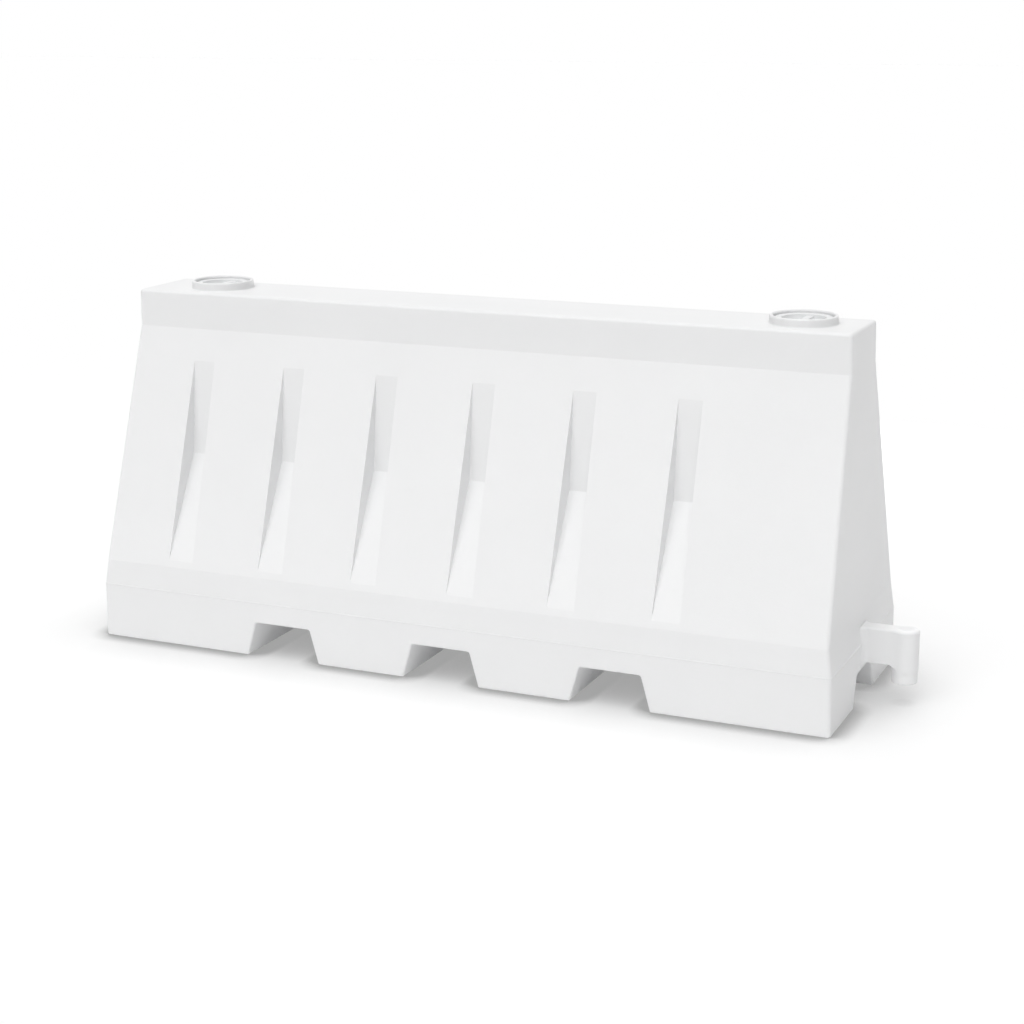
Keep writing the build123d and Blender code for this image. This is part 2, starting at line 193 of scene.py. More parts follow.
class DrainSizes(bpy.types.PropertyGroup):
    """Drain plugs and the threads of their bushes."""

    colour: FloatVectorProperty(
        name="Drain plastic", description="Colour of the drain plugs", subtype="COLOR",
        default=(0.16, 0.165, 0.17))
    shade: FloatVectorProperty(
        name="Drain shade", description="Colour of the duller clouds in the drain plugs", subtype="COLOR",
        default=(0.125, 0.13, 0.135))
    roughness: FloatProperty(
        name="Roughness", description="Middle roughness of the drain plugs", subtype="FACTOR", default=0.5)
    grain: FloatProperty(
        name="Grain depth", description="Depth of the drain plugs' mould grain", unit="LENGTH",
        default=0.0002)
    bore: FloatProperty(
        name="Bush bore", description="Radius of the bush's bore", unit="LENGTH", default=0.022)
    root: FloatProperty(
        name="Root radius", description="Radius of the shank between the thread's ridges", unit="LENGTH",
        default=0.0203)
    core: FloatProperty(
        name="Core radius", description="Radius of the hollow in the shank", unit="LENGTH", default=0.0156)
    starts: IntProperty(
        name="Thread starts", description="Number of ridges that start round the thread", default=2)
    ridge: FloatProperty(
        name="Ridge height", description="Height of a thread ridge", unit="LENGTH", default=0.0011)
    ridge_foot: FloatProperty(
        name="Ridge foot", description="Width of a thread ridge at its foot", unit="LENGTH", default=0.0015)
    head: FloatProperty(
        name="Head thickness", description="Thickness of the plug's head", unit="LENGTH", default=0.006)
    wing_length: FloatProperty(
        name="Wing length", description="Length of the grip wing", unit="LENGTH", default=0.054)
    wing_width: FloatProperty(
        name="Wing width", description="Thickness of the grip wing", unit="LENGTH", default=0.012)
    wing_corner: FloatProperty(
        name="Wing corner", description="Radius of the wing's upright corners", unit="LENGTH",
        default=0.005714)
    wing_sunk: FloatProperty(
        name="Wing sunk", description="How far the wing is sunk into the head", unit="LENGTH",
        default=0.001)
    edge: FloatProperty(
        name="Rim radius", description="Radius of the head's rim and along the wing's top", unit="LENGTH",
        default=0.002)
    foot_edge: FloatProperty(
        name="Foot radius", description="Radius round the shank's foot", unit="LENGTH", default=0.001)
    crisp_edge: FloatProperty(
        name="Crisp radius", description="Radius of the hollow's mouth and of the edge under the head",
        unit="LENGTH", default=0.0005)
    ribs: IntProperty(
        name="Head ribs", description="Number of grip ribs round the head", default=40)
    rib_radius: FloatProperty(
        name="Rib radius", description="Radius of a grip rib", unit="LENGTH", default=0.001)
    rib_stop: FloatProperty(
        name="Rib stop", description="How far the ribs stop below the head's top", unit="LENGTH",
        default=0.0025)


class FittingSizes(bpy.types.PropertyGroup):
    """Finishes of the seals and bushes."""

    rubber: FloatVectorProperty(
        name="Rubber", description="Colour of the seals", subtype="COLOR", default=(0.02, 0.02, 0.021))
    bloom: FloatVectorProperty(
        name="Rubber bloom", description="Colour of the pale bloom on the rubber", subtype="COLOR",
        default=(0.06, 0.06, 0.062))
    rubber_roughness: FloatProperty(
        name="Rubber roughness", description="Middle roughness of the rubber", subtype="FACTOR", default=0.72)
    pores: FloatProperty(
        name="Pore depth", description="Depth of the rubber's pores", unit="LENGTH", default=0.0001)
    brass: FloatVectorProperty(
        name="Brass", description="Colour of the bushes", subtype="COLOR", default=(0.72, 0.53, 0.25))
    tarnish: FloatVectorProperty(
        name="Tarnish", description="Colour of the duller brass", subtype="COLOR",
        default=(0.42, 0.29, 0.13))
    brass_roughness: FloatProperty(
        name="Brass roughness", description="Middle roughness of the brass", subtype="FACTOR", default=0.34)
    ring_rate: FloatProperty(
        name="Ring rate", description="Radians of turning rings in a metre of radius", default=9000.0)
    ring_depth: FloatProperty(
        name="Ring depth", description="Depth of the turning rings", unit="LENGTH", default=0.00006)


class StageSizes(bpy.types.PropertyGroup):
    """Camera, floor and light."""

    eye: FloatVectorProperty(
        name="Eye", description="Where the camera stands", subtype="XYZ", unit="LENGTH",
        default=(2.0412, -4.5822, 1.6839))
    heading: FloatProperty(
        name="Heading", description="Turn of the view from +Y towards -X", subtype="ANGLE",
        default=math.radians(24.032))
    tilt: FloatProperty(
        name="Tilt", description="How far the view looks down", subtype="ANGLE",
        default=math.radians(14.631))
    roll: FloatProperty(
        name="Roll", description="Turn of the camera about its own line of sight", subtype="ANGLE",
        default=math.radians(-0.361))
    lens: FloatProperty(
        name="Lens", description="Focal length on a 36 mm sensor, in millimetres", unit="CAMERA",
        default=70.651)
    floor_width: FloatProperty(
        name="Floor", description="Width of the floor", unit="LENGTH", default=80.0)
    floor_colour: FloatVectorProperty(
        name="Floor colour", description="Pale floor", subtype="COLOR", default=(0.96, 0.96, 0.96))
    # Painted shade: the colour that the floor is darkened to close round the object, in place of its contact
    # shadow
    painted_floor_shade: FloatVectorProperty(
        name="Floor shade", description="Floor where the object stands close over it", subtype="COLOR",
        default=(0.05, 0.05, 0.05))
    floor_glow: FloatProperty(
        name="Floor glow", description="Share of plain white that the camera sees in the floor",
        subtype="FACTOR", default=0.36)
    foot_reach: FloatProperty(
        name="Foot reach", description="How far the shade at the feet spreads over the floor",
        unit="LENGTH", default=0.055)
    # Painted shade: how strongly closeness at the feet darkens the floor's colour
    painted_foot_shade: FloatProperty(
        name="Foot shade", description="Strength of the shade at the feet", default=1.65)
    under_reach: FloatProperty(
        name="Tunnel reach", description="How far the shade under the tunnels spreads", unit="LENGTH",
        default=0.25)
    under_fall: FloatProperty(
        name="Tunnel fall", description="Power by which the shade fades towards the tunnels' mouths",
        default=1.3)
    bounces: IntProperty(
        name="Bounces", description="How often soft light bounces in the tunnels and flutes", default=12)
    sky: FloatProperty(
        name="Sky", description="Strength of the soft light straight overhead", default=1.35)
    sky_start: FloatProperty(
        name="Sky start", description="Sine of the height at which the soft light begins", default=0.3)
    key: FloatProperty(
        name="Key light", description="Strength of the wide light in front", default=1.3)
    key_height: FloatProperty(
        name="Key height", description="How high the wide light stands", subtype="ANGLE",
        default=math.radians(50))
    key_width: FloatProperty(
        name="Key width", description="Angle across the wide light", subtype="ANGLE",
        default=math.radians(60))
    back: FloatProperty(
        name="Back light", description="Power of the low panel that lights the back", unit="POWER",
        default=16.0)
    back_place: FloatVectorProperty(
        name="Back place", description="Middle of the panel behind the barrier", subtype="XYZ",
        unit="LENGTH", default=(0.0, 3.2, 0.5))
    back_size: FloatVectorProperty(
        name="Back size", description="Width and height of the panel", size=2, unit="LENGTH",
        default=(1.9, 0.75))


class Signal:
    """A node socket that joins in Python arithmetic by adding Math nodes."""

    def __init__(self, builder, socket):
        self.builder = builder
        self.socket = socket

    def __add__(self, other):
        return self.builder.reckon("ADD", self, other)

    def __radd__(self, other):
        return self.builder.reckon("ADD", other, self)

    def __sub__(self, other):
        return self.builder.reckon("SUBTRACT", self, other)

    def __rsub__(self, other):
        return self.builder.reckon("SUBTRACT", other, self)

    def __mul__(self, other):
        return self.builder.reckon("MULTIPLY", self, other)

    def __rmul__(self, other):
        return self.builder.reckon("MULTIPLY", other, self)

    def __truediv__(self, other):
        return self.builder.reckon("DIVIDE", self, other)

    def __rtruediv__(self, other):
        return self.builder.reckon("DIVIDE", other, self)

    def __neg__(self):
        return self.builder.reckon("MULTIPLY", self, -1.0)


class Builder:
    """A node tree and the one method that adds nodes to it."""

    def __init__(self, tree):
        self.tree = tree

    def feed(self, socket, value):
        if isinstance(value, Signal):
            self.tree.links.new(value.socket, socket)
        else:
            socket.default_value = value

    def node(self, kind, settings=None, inputs=None, output=0):
        node = self.tree.nodes.new(kind)
        for name, value in (settings or {}).items():
            setattr(node, name, value)
        for key, value in (inputs or {}).items():
            self.feed(node.inputs[key], value)
        return Signal(self, node.outputs[output])

    def reckon(self, operation, first, second=0.0):
        return self.node("ShaderNodeMath", {"operation": operation}, {0: first, 1: second})

    def vector(self, x=0.0, y=0.0, z=0.0):
        return self.node("ShaderNodeCombineXYZ", inputs={"X": x, "Y": y, "Z": z})

    def part_of(self, vector, axis):
        return self.node("ShaderNodeSeparateXYZ", inputs={"Vector": vector}, output=axis)

    def seen_rays(self):
        """1 for rays from the camera, and for those that it sends on by reflection and refraction."""
        rays = [self.node("ShaderNodeLightPath", output=f"Is {kind} Ray")
                for kind in ("Camera", "Glossy", "Transmission")]
        return self.node("ShaderNodeClamp", inputs={"Value": rays[0] + rays[1] + rays[2]})


class Finish(Builder):
    """A procedural material on Object coordinates."""

    def __init__(self, name, **surface):
        self.material = bpy.data.materials.new(name)
        self.material.use_nodes = True
        super().__init__(self.material.node_tree)
        self.shader = self.tree.nodes["Principled BSDF"]
        self.place = self.node("ShaderNodeTexCoord", output="Object")
        for label, value in surface.items():
            self.shader.inputs[label.replace("_", " ")].default_value = value

    def noise(self, scale, detail, stretch=(1, 1, 1)):
        place = self.node("ShaderNodeMapping", inputs={"Vector": self.place, "Scale": stretch})
        return self.node("ShaderNodeTexNoise", inputs={"Vector": place, "Scale": scale, "Detail": detail})

    def sway(self, level, swings):
        """A level that each pattern from 0 to 1 pushes up and down by its swing."""
        for pattern, swing in swings:
            level = level + (pattern - NOISE_MIDDLE) * swing
        return level

    def blend(self, factor, first, second):
        return self.node("ShaderNodeMix", {"data_type": "RGBA"},
                         {"Factor": factor, "A": (*first, 1.0), "B": (*second, 1.0)}, COLOUR_RESULT)

    def hemmed_in(self, reach):
        """How much of the view from the surface is blocked within a reach, from 0 to 1."""
        clear = self.node("ShaderNodeAmbientOcclusion", {"samples": SHADE_SAMPLES}, {"Distance": reach}, "AO")
        return 1.0 - clear

    def shape(self, colour, roughness, height, depth):
        """Feeds the varying colour, roughness and relief to the surface."""
        self.feed(self.shader.inputs["Base Color"], colour)
        self.feed(self.shader.inputs["Roughness"], roughness)
        bump = self.node("ShaderNodeBump", inputs={"Height": height, "Distance": depth, "Strength": 1.0})
        self.feed(self.shader.inputs["Normal"], bump)
        return self.material


def moulded_plastic(name, sizes):
    """Satin polyethylene with slow clouds, fine grain and faint rubbing marks."""
    finish = Finish(name)
    clouds = finish.noise(scale=2.6, detail=3.0)
    flecks = finish.noise(scale=210, detail=2.0)
    rubs = finish.noise(scale=9, detail=4.0, stretch=(0.25, 1, 2.2))
    grains = finish.noise(scale=620, detail=3.0)
    waves = finish.noise(scale=24, detail=1.0)
    dullness = finish.sway(level=0.4, swings=((clouds, 1.3), (flecks, 0.5)))
    satin = finish.sway(level=sizes.roughness, swings=((flecks, 0.12), (rubs, 0.16)))
    relief = finish.sway(level=0.0, swings=((grains, 1.0), (waves, 1.5)))
    return finish.shape(finish.blend(dullness, sizes.colour, sizes.shade), satin, relief, sizes.grain)


def seal_rubber(sizes):
    """Matt black rubber with a thin pale bloom."""
    finish = Finish("seal_rubber")
    bloom = finish.noise(scale=60, detail=4.0)
    pores = finish.noise(scale=1500, detail=2.0)
    paleness = finish.sway(level=0.08, swings=((bloom, 1.6),))
    matt = finish.sway(level=sizes.rubber_roughness, swings=((bloom, 0.2),))
    return finish.shape(finish.blend(paleness, sizes.rubber, sizes.bloom), matt, pores, sizes.pores)


def turned_brass(name, sizes, axis):
    """Dull brass with fine turning rings round an axis along Y."""
    finish = Finish(name, Metallic=1.0)
    near = finish.node("ShaderNodeMapping",
                       inputs={"Vector": finish.place, "Location": (-axis.x, 0, -axis.z)})
    flat = finish.node("ShaderNodeVectorMath", {"operation": "MULTIPLY"}, {0: near, 1: (1, 0, 1)})
    radius = finish.node("ShaderNodeVectorMath", {"operation": "LENGTH"}, {0: flat}, "Value")
    rings = finish.reckon("SINE", radius * sizes.ring_rate) * 0.5 + NOISE_MIDDLE
    stain = finish.noise(scale=70, detail=4.0)
    dullness = finish.sway(level=0.176, swings=((stain, 2.2),))
    rough = finish.sway(level=sizes.brass_roughness, swings=((stain, 0.3), (rings, 0.06)))
    relief = finish.sway(level=0.0, swings=((rings, 1.0), (stain, 1.0)))
    return finish.shape(finish.blend(dullness, sizes.brass, sizes.tarnish), rough, relief, sizes.ring_depth)


class Form(Builder):
    """A Geometry Nodes tree with named inputs that is run for a plain mesh."""

    def __init__(self, name, **inputs):
        super().__init__(bpy.data.node_groups.new(name, "GeometryNodeTree"))
        sockets = self.tree.interface
        sockets.new_socket("Geometry", in_out="OUTPUT", socket_type="NodeSocketGeometry")
        sockets.new_socket("Geometry", in_out="INPUT", socket_type="NodeSocketGeometry")
        sockets.new_socket("Material", in_out="INPUT", socket_type="NodeSocketMaterial")
        for label, kind in inputs.items():
            sockets.new_socket(label, in_out="INPUT", socket_type="NodeSocket" + kind)
        self.source = self.tree.nodes.new("NodeGroupInput")

    def given(self, label):
        return Signal(self, self.source.outputs[label])

    def close(self, geometry):
        """Ends the tree in plain geometry with the given material."""
        whole = self.node("GeometryNodeRealizeInstances", inputs={"Geometry": geometry})
        finished = self.node("GeometryNodeSetMaterial",
                             inputs={"Geometry": whole, "Material": self.given("Material")})
        self.feed(self.tree.nodes.new("NodeGroupOutput").inputs["Geometry"], finished)

    def grow(self, name, start=None, **sizes):
        """Runs the tree on a start mesh and returns the result as a mesh of its own."""
        host = bpy.data.objects.new(name, start or bpy.data.meshes.new(name))
        bpy.context.scene.collection.objects.link(host)
        modifier = host.modifiers.new("form", "NODES")
        modifier.node_group = self.tree
        for item in self.tree.interface.items_tree:
            if item.in_out == "INPUT" and item.name in sizes:
                modifier[item.identifier] = sizes[item.name]
        depsgraph = bpy.context.evaluated_depsgraph_get()
        mesh = bpy.data.meshes.new_from_object(host.evaluated_get(depsgraph), depsgraph=depsgraph)
        mesh.name = name
        bpy.data.objects.remove(host)
        if not mesh.polygons:
            raise RuntimeError(f"{name} came out empty")
        return mesh


def thread_form():
    """Right-handed thread ridges round Z, which rise from their radius and run out at both ends."""
    crest_share = 0.22
    sunk_share = 0.15
    run_outs = 9.0
    thinnest = 0.12
    form = Form("thread_ridges", Radius="Float", Rise="Float", Lead="Float", Starts="Int", Ridge="Float",
                Foot="Float")
    turns = form.given("Rise") / form.given("Lead")
    helix = form.node("GeometryNodeCurveSpiral",
                      inputs={"Resolution": THREAD_STEPS, "Rotations": turns,
                              "Start Radius": form.given("Radius"), "End Radius": form.given("Radius"),
                              "Height": form.given("Rise"), "Reverse": True})
    level = form.node("GeometryNodeSetCurveNormal", {"mode": "Z_UP"}, {"Curve": helix})
    ridge = form.given("Ridge")
    sunk = ridge * -sunk_share
    foot = form.given("Foot") / 2
    crest = form.given("Foot") * crest_share
    outline = form.node("GeometryNodeCurvePrimitiveQuadrilateral", {"mode": "POINTS"},
                        {"Point 1": form.vector(sunk, -foot), "Point 2": form.vector(ridge, -crest),
                         "Point 3": form.vector(ridge, crest), "Point 4": form.vector(sunk, foot)})
    along = form.node("GeometryNodeSplineParameter", output="Factor")
    ends = form.reckon("MINIMUM", along, 1.0 - along) * run_outs
    fade = form.node("ShaderNodeClamp", inputs={"Value": ends, "Min": thinnest, "Max": 1.0})
    ridge_mesh = form.node("GeometryNodeCurveToMesh", inputs={"Curve": level, "Profile Curve": outline,
                                                             "Scale": fade, "Fill Caps": True})
    starts = form.given("Starts")
    spots = form.node("GeometryNodePoints", inputs={"Count": starts})
    step = form.node("GeometryNodeInputIndex") * math.tau / starts
    turn = form.node("FunctionNodeEulerToRotation", inputs={0: form.vector(z=step)})
    form.close(form.node("GeometryNodeInstanceOnPoints",
                         inputs={"Points": spots, "Instance": ridge_mesh, "Rotation": turn}))
    return form


def rib_form():
    """A ring of upright round grip ribs, half sunk in the rim that they stand on."""
    form = Form("rib_ring", Count="Int", Radius="Float", Rib="Float", Foot="Float", Top="Float")
    ring = form.node("GeometryNodeMeshCircle",
                     inputs={"Vertices": form.given("Count"), "Radius": form.given("Radius")})
    rib = form.node("GeometryNodeMeshCylinder", {"fill_type": "NGON"},
                    {"Vertices": RIB_SIDES, "Side Segments": 1, "Radius": form.given("Rib"),
                     "Depth": form.given("Top") - form.given("Foot")})
    ribs = form.node("GeometryNodeInstanceOnPoints", inputs={"Points": ring, "Instance": rib})
    middle = (form.given("Top") + form.given("Foot")) / 2
    form.close(form.node("GeometryNodeTransform",
                         inputs={"Geometry": ribs, "Translation": form.vector(z=middle)}))
    return form


def bead_form():
    """A round bead swept along the edges of the start mesh, with its corners rounded."""
    form = Form("parting_bead", Bead="Float", Corner="Float")
    path = form.node("GeometryNodeMeshToCurve", inputs={"Mesh": form.given("Geometry")})
    bent = form.node("GeometryNodeFilletCurve", {"mode": "POLY"},
                     {"Curve": path, "Count": CORNER_STEPS, "Radius": form.given("Corner"),
                      "Limit Radius": True})
    level = form.node("GeometryNodeSetCurveNormal", {"mode": "Z_UP"}, {"Curve": bent})
    outline = form.node("GeometryNodeCurvePrimitiveCircle",
                        inputs={"Resolution": BEAD_SIDES, "Radius": form.given("Bead")})
    form.close(form.node("GeometryNodeCurveToMesh",
                         inputs={"Curve": level, "Profile Curve": outline, "Fill Caps": True}))
    return form


def rounded(outline, steps):
    """The points of an outline of (x, y, radius) corners, with an arc at each corner that has a radius."""
    places = [Vector((x, y)) for x, y, _ in outline]
    points = []
    for index, (corner, (_, _, radius)) in enumerate(zip(places, outline)):
        if radius:
            back = (places[index - 1] - corner).normalized()
            ahead = (places[(index + 1) % len(places)] - corner).normalized()
            half = back.angle(ahead) / 2
            middle = corner + (back + ahead).normalized() * radius / math.sin(half)
            first = corner + back * radius / math.tan(half) - middle
            last = corner + ahead * radius / math.tan(half) - middle
            points += [middle + radius * first.slerp(last, step / steps) for step in range(steps + 1)]
        else:
            points.append(corner)
    return points


def add_turning(solid, outline, steps):
    """Adds a surface of revolution round Z, from an outline that starts and ends on the axis."""
    points = rounded(outline, EDGE_STEPS)
    rings = []
    for step in range(steps):
        turn = math.tau * step / steps
        rings.append([solid.verts.new((point.x * math.cos(turn), point.x * math.sin(turn), point.y))
                      for point in points])
    faces = []
    for one, two in zip(rings, rings[1:] + rings[:1]):
        for k in range(len(points) - 1):
            faces.append(solid.faces.new((one[k], two[k], two[k + 1], one[k + 1])))
    bmesh.ops.remove_doubles(solid, verts=[vertex for ring in rings for vertex in ring], dist=SAME_SPOT)
    bmesh.ops.recalc_face_normals(solid, faces=[face for face in faces if face.is_valid])


def add_loops(solid, loops):
    """Joins a row of equal loops of points into a closed form, with a cap at each end."""
    rows = [[solid.verts.new(point) for point in loop] for loop in loops]
    faces = [solid.faces.new(rows[0]), solid.faces.new(rows[-1])]
    for one, two in zip(rows, rows[1:]):
        for k, vertex in enumerate(one):
            faces.append(solid.faces.new((one[k - 1], vertex, two[k], two[k - 1])))
    bmesh.ops.recalc_face_normals(solid, faces=faces)


def add_bar(solid, length, width, corner, low, high, edge):
    """Adds an upright bar along Y with a slightly flared foot, rounded corners and a rounded top edge."""
    flare = 0.0005
    least_bend = edge / 8
    levels = [(-flare, low)]
    for step in range(EDGE_STEPS + 1):
        turn = math.pi / 2 * step / EDGE_STEPS
        levels.append((edge * (1 - math.cos(turn)), high - edge + edge * math.sin(turn)))
    loops = []
    for inset, level in levels:
        x = width / 2 - inset
        y = length / 2 - inset
        bend = max(corner - inset, least_bend)
        points = rounded([(x, y, bend), (-x, y, bend), (-x, -y, bend), (x, -y, bend)], CORNER_STEPS)
        loops.append([(point.x, point.y, level) for point in points])
    add_loops(solid, loops)


def add_corner(solid, middle, radius, half_width, flow, level, bend, sunk):
    """Adds the hollow rounding under an arm along X, where its sides flow out to an upright pin."""
    reach = radius + bend
    parting = math.sqrt((flow + radius) ** 2 - (flow + half_width) ** 2)
    near = parting * radius / (flow + radius)
    far = math.sqrt(reach ** 2 - half_width ** 2)
    limits = []
    for step in range(1, LUG_STEPS + 1):
        along = near + (far - near) * step / LUG_STEPS
        side = half_width + flow - math.sqrt(flow ** 2 - max(parting - along, 0.0) ** 2)
        limits.append((math.atan2(side, along), min(math.hypot(side, along), reach)))
    widest = limits[-1][0]
    across = [(widest * (1 - 2 * step / LUG_STEPS), reach) for step in range(1, LUG_STEPS)]
    loops = []
    for turn, limit in limits + across + [(-turn, limit) for turn, limit in reversed(limits)]:
        profile = []
        for step in range(LUG_STEPS + 1):
            spot = radius + (limit - radius) * (step / LUG_STEPS) ** 2
            profile.append((spot, level - bend + math.sqrt(max(bend ** 2 - (reach - spot) ** 2, 0.0))))
        profile += [(limit, level + sunk), (radius - sunk, level + sunk), (radius - sunk, level - bend)]
        loops.append([(middle - spot * math.cos(turn), -spot * math.sin(turn), height)
                      for spot, height in profile])
    add_loops(solid, loops)


def solid_mesh(name, solid):
    mesh = bpy.data.meshes.new(name)
    solid.to_mesh(mesh)
    solid.free()
    return mesh


def add_piece(name, mesh, place, body, finish, node=None):
    """Puts a mesh in its place as a finished piece that rides on a body and may stand for a CAD node."""
    mesh.transform(place)
    closed = bmesh.new()
    closed.from_mesh(mesh)
    bmesh.ops.recalc_face_normals(closed, faces=closed.faces)
    closed.to_mesh(mesh)
    closed.free()
    mesh.shade_smooth()
    mesh.set_sharp_from_angle(angle=SHARP_EDGE)
    mesh.materials.clear()
    mesh.materials.append(finish)
    piece = bpy.data.objects.new(name, mesh)
    bpy.context.scene.collection.objects.link(piece)
    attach(piece, body)
    if node:
        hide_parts(node)


def paint(node, finish):
    """Gives a CAD node a better material."""
    materials = frame["nodes"][node].data.materials
    materials.clear()
    materials.append(finish)


def lead_of(joint):
    """How far a threaded piece moves in one turn, from the record's coupling of its slide to its hinge."""
    for coupling in frame["record"]["behaviour"]["couplings"]:
        if coupling["joint"] == joint:
            return coupling["ratio"] * math.tau
    raise KeyError(f"no coupling moves {joint}")


def start_at(level, datum, lead):
    """Lifts a thread to its level and turns it so that it lies on the helix that passes the datum level."""
    return Matrix.Translation((0, 0, level)) @ Matrix.Rotation((level - datum) * math.tau / lead, 4, "Z")


def middle_of(box):
    low, high = box
    return (low + high) / 2


class BARRIER_OT_shell(bpy.types.Operator):
    """Finish the shell in white moulded plastic, with its parting bead and the corner under its lug."""

    bl_idname = "barrier.shell"
    bl_label = "Shell"

    def execute(self, context):
        sizes = context.scene.barrier_shell
        finish = moulded_plastic("shell_plastic", sizes)
        paint("barrier_shell", finish)
        low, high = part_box("barrier_shell")
        left = low.x + sizes.bead_inset
        right = low.x + sizes.body_length - sizes.bead_inset
        slot = sizes.slot_width / 2 + sizes.bead_radius
        route = [(left, slot), (left, high.y), (right, high.y), (right, low.y), (left, low.y), (left, -slot)]
        start = bpy.data.meshes.new("bead_route")
        start.from_pydata([(x, y, sizes.bead_level) for x, y in route],
                          [(k, k + 1) for k in range(len(route) - 1)], [])
        bead = bead_form().grow("parting_bead", start, Bead=sizes.bead_radius, Corner=sizes.bead_corner,
                                Material=finish)
        add_piece("parting_bead", bead, UPRIGHT, "barrier", finish)
        pin = next(mount for mount in frame["record"]["mounts"] if mount["name"] == "coupling_pin")
        corner = bmesh.new()
        add_corner(corner, pin["pos_m"][0], sizes.pin_radius, sizes.arm_width / 2 - sizes.arm_inset,
                   sizes.arm_flow + sizes.arm_inset, sizes.arm_under + sizes.arm_inset, sizes.arm_corner,
                   sizes.corner_sunk)
        add_piece("lug_corner", solid_mesh("lug_corner", corner), UPRIGHT, "barrier", finish)
        return {"FINISHED"}


class BARRIER_OT_filling(bpy.types.Operator):
    """Build the filling plugs with their grips and threads, and the threads in the necks."""

    bl_idname = "barrier.filling"
    bl_label = "Filling plugs"

    def execute(self, context):
        sizes = context.scene.barrier_fill
        slot = "fill_plug_plastic"
        finish = moulded_plastic(slot, sizes)
        threads = thread_form()
        ribs = rib_form()
        for side in SIDES:
            body = f"fill_plug_{side}_body"
            low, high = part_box(f"fill_plug_{side}")
            seat, flange = (corner.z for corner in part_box(f"fill_seal_{side}"))
            middle = middle_of((low, high))
            place = Matrix.Translation((middle.x, middle.y, 0))
            reach = (high.x - low.x) / 2 - sizes.rib_radius / 2
            floor = low.z + sizes.floor
            solid = bmesh.new()
            add_turning(solid, [(0, low.z, 0), (sizes.root, low.z, sizes.foot_edge), (sizes.root, flange, 0),
                                (reach, flange, sizes.crisp_edge), (reach, high.z, sizes.edge),
                                (sizes.cup, high.z, sizes.edge),
                                (sizes.cup - sizes.cup_taper, floor, sizes.soft_edge), (0, floor, 0)],
                        FILL_STEPS)
            add_bar(solid, 2 * sizes.cup, sizes.bar, sizes.bar_corner, floor - sizes.bar_sunk,
                    high.z - sizes.bar_drop, sizes.soft_edge)
            add_piece(f"fill_cap_{side}", solid_mesh("fill_cap", solid), place, body, finish,
                      f"fill_plug_{side}")
            rim = ribs.grow("fill_ribs", Count=sizes.ribs, Radius=reach, Rib=sizes.rib_radius,
                            Foot=flange + sizes.crisp_edge, Top=high.z - sizes.rib_stop, Material=finish)
            add_piece(f"fill_ribs_{side}", rim, place, body, finish)
            lead = lead_of(f"fill_{side}_lift")
            half_pitch = lead / sizes.starts / 2
            shared = {"Lead": lead, "Starts": sizes.starts, "Foot": sizes.ridge_foot, "Material": finish}
            foot = low.z + sizes.ridge_foot
            male = threads.grow("fill_thread", Radius=sizes.root, Rise=seat - foot, Ridge=sizes.ridge,
                                **shared)
            add_piece(f"fill_thread_{side}", male, place @ start_at(foot, 0, lead), body, finish)
            mouth = seat - sizes.ridge_foot
            sleeve = seat - sizes.sleeve + sizes.ridge_foot
            female = threads.grow("neck_thread", Radius=sizes.bore, Rise=mouth - sleeve, Ridge=-sizes.ridge,
                                  **shared)
            add_piece(f"neck_thread_{side}", female, place @ start_at(sleeve, half_pitch, lead), "barrier",
                      bpy.data.materials["shell_plastic"])
        return {"FINISHED"}


class BARRIER_OT_drains(bpy.types.Operator):
    """Build the drain plugs with their wings and threads, and the threads in their brass bushes."""

    bl_idname = "barrier.drains"
    bl_label = "Drain plugs"

    def execute(self, context):
        sizes = context.scene.barrier_drain
        slot = "drain_plug_plastic"
        finish = moulded_plastic(slot, sizes)
        threads = thread_form()
        ribs = rib_form()
        for side in SIDES:
            body = f"drain_plug_{side}_body"
            low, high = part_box(f"drain_plug_{side}")
            seat, under = (corner.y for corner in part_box(f"drain_seal_{side}"))
            bush_low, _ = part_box(f"drain_bush_{side}")
            middle = middle_of((low, high))
            place = Matrix.Translation((middle.x, 0, middle.z)) @ BACKWARD
            reach = (high.x - low.x) / 2 - sizes.rib_radius / 2
            top = under + sizes.head
            solid = bmesh.new()
            add_turning(solid, [(0, under, 0), (sizes.core, under, 0), (sizes.core, low.y, sizes.crisp_edge),
                                (sizes.root, low.y, sizes.foot_edge), (sizes.root, under, 0),
                                (reach, under, sizes.crisp_edge), (reach, top, sizes.edge), (0, top, 0)],
                        DRAIN_STEPS)
            add_bar(solid, sizes.wing_length, sizes.wing_width, sizes.wing_corner, top - sizes.wing_sunk,
                    high.y, sizes.edge)
            add_piece(f"drain_cap_{side}", solid_mesh("drain_cap", solid), place, body, finish,
                      f"drain_plug_{side}")
            rim = ribs.grow("drain_ribs", Count=sizes.ribs, Radius=reach, Rib=sizes.rib_radius,
                            Foot=under + sizes.crisp_edge, Top=top - sizes.rib_stop, Material=finish)
            add_piece(f"drain_ribs_{side}", rim, place, body, finish)
            lead = lead_of(f"drain_{side}_draw")
            half_pitch = lead / sizes.starts / 2
            brass = bpy.data.materials[f"bush_brass_{side}"]
            shared = {"Lead": lead, "Starts": sizes.starts, "Foot": sizes.ridge_foot}
            foot = low.y + sizes.ridge_foot
            male = threads.grow("drain_thread", Radius=sizes.root, Rise=seat - foot, Ridge=sizes.ridge,
                                Material=finish, **shared)
            add_piece(f"drain_thread_{side}", male, place @ start_at(foot, 0, lead), body, finish)
            mouth = seat - sizes.ridge_foot
            inner = bush_low.y + sizes.ridge_foot
            female = threads.grow("bush_thread", Radius=sizes.bore, Rise=mouth - inner, Ridge=-sizes.ridge,
                                  Material=brass, **shared)
            add_piece(f"bush_thread_{side}", female, place @ start_at(inner, half_pitch, lead), "barrier",
                      brass)
        return {"FINISHED"}


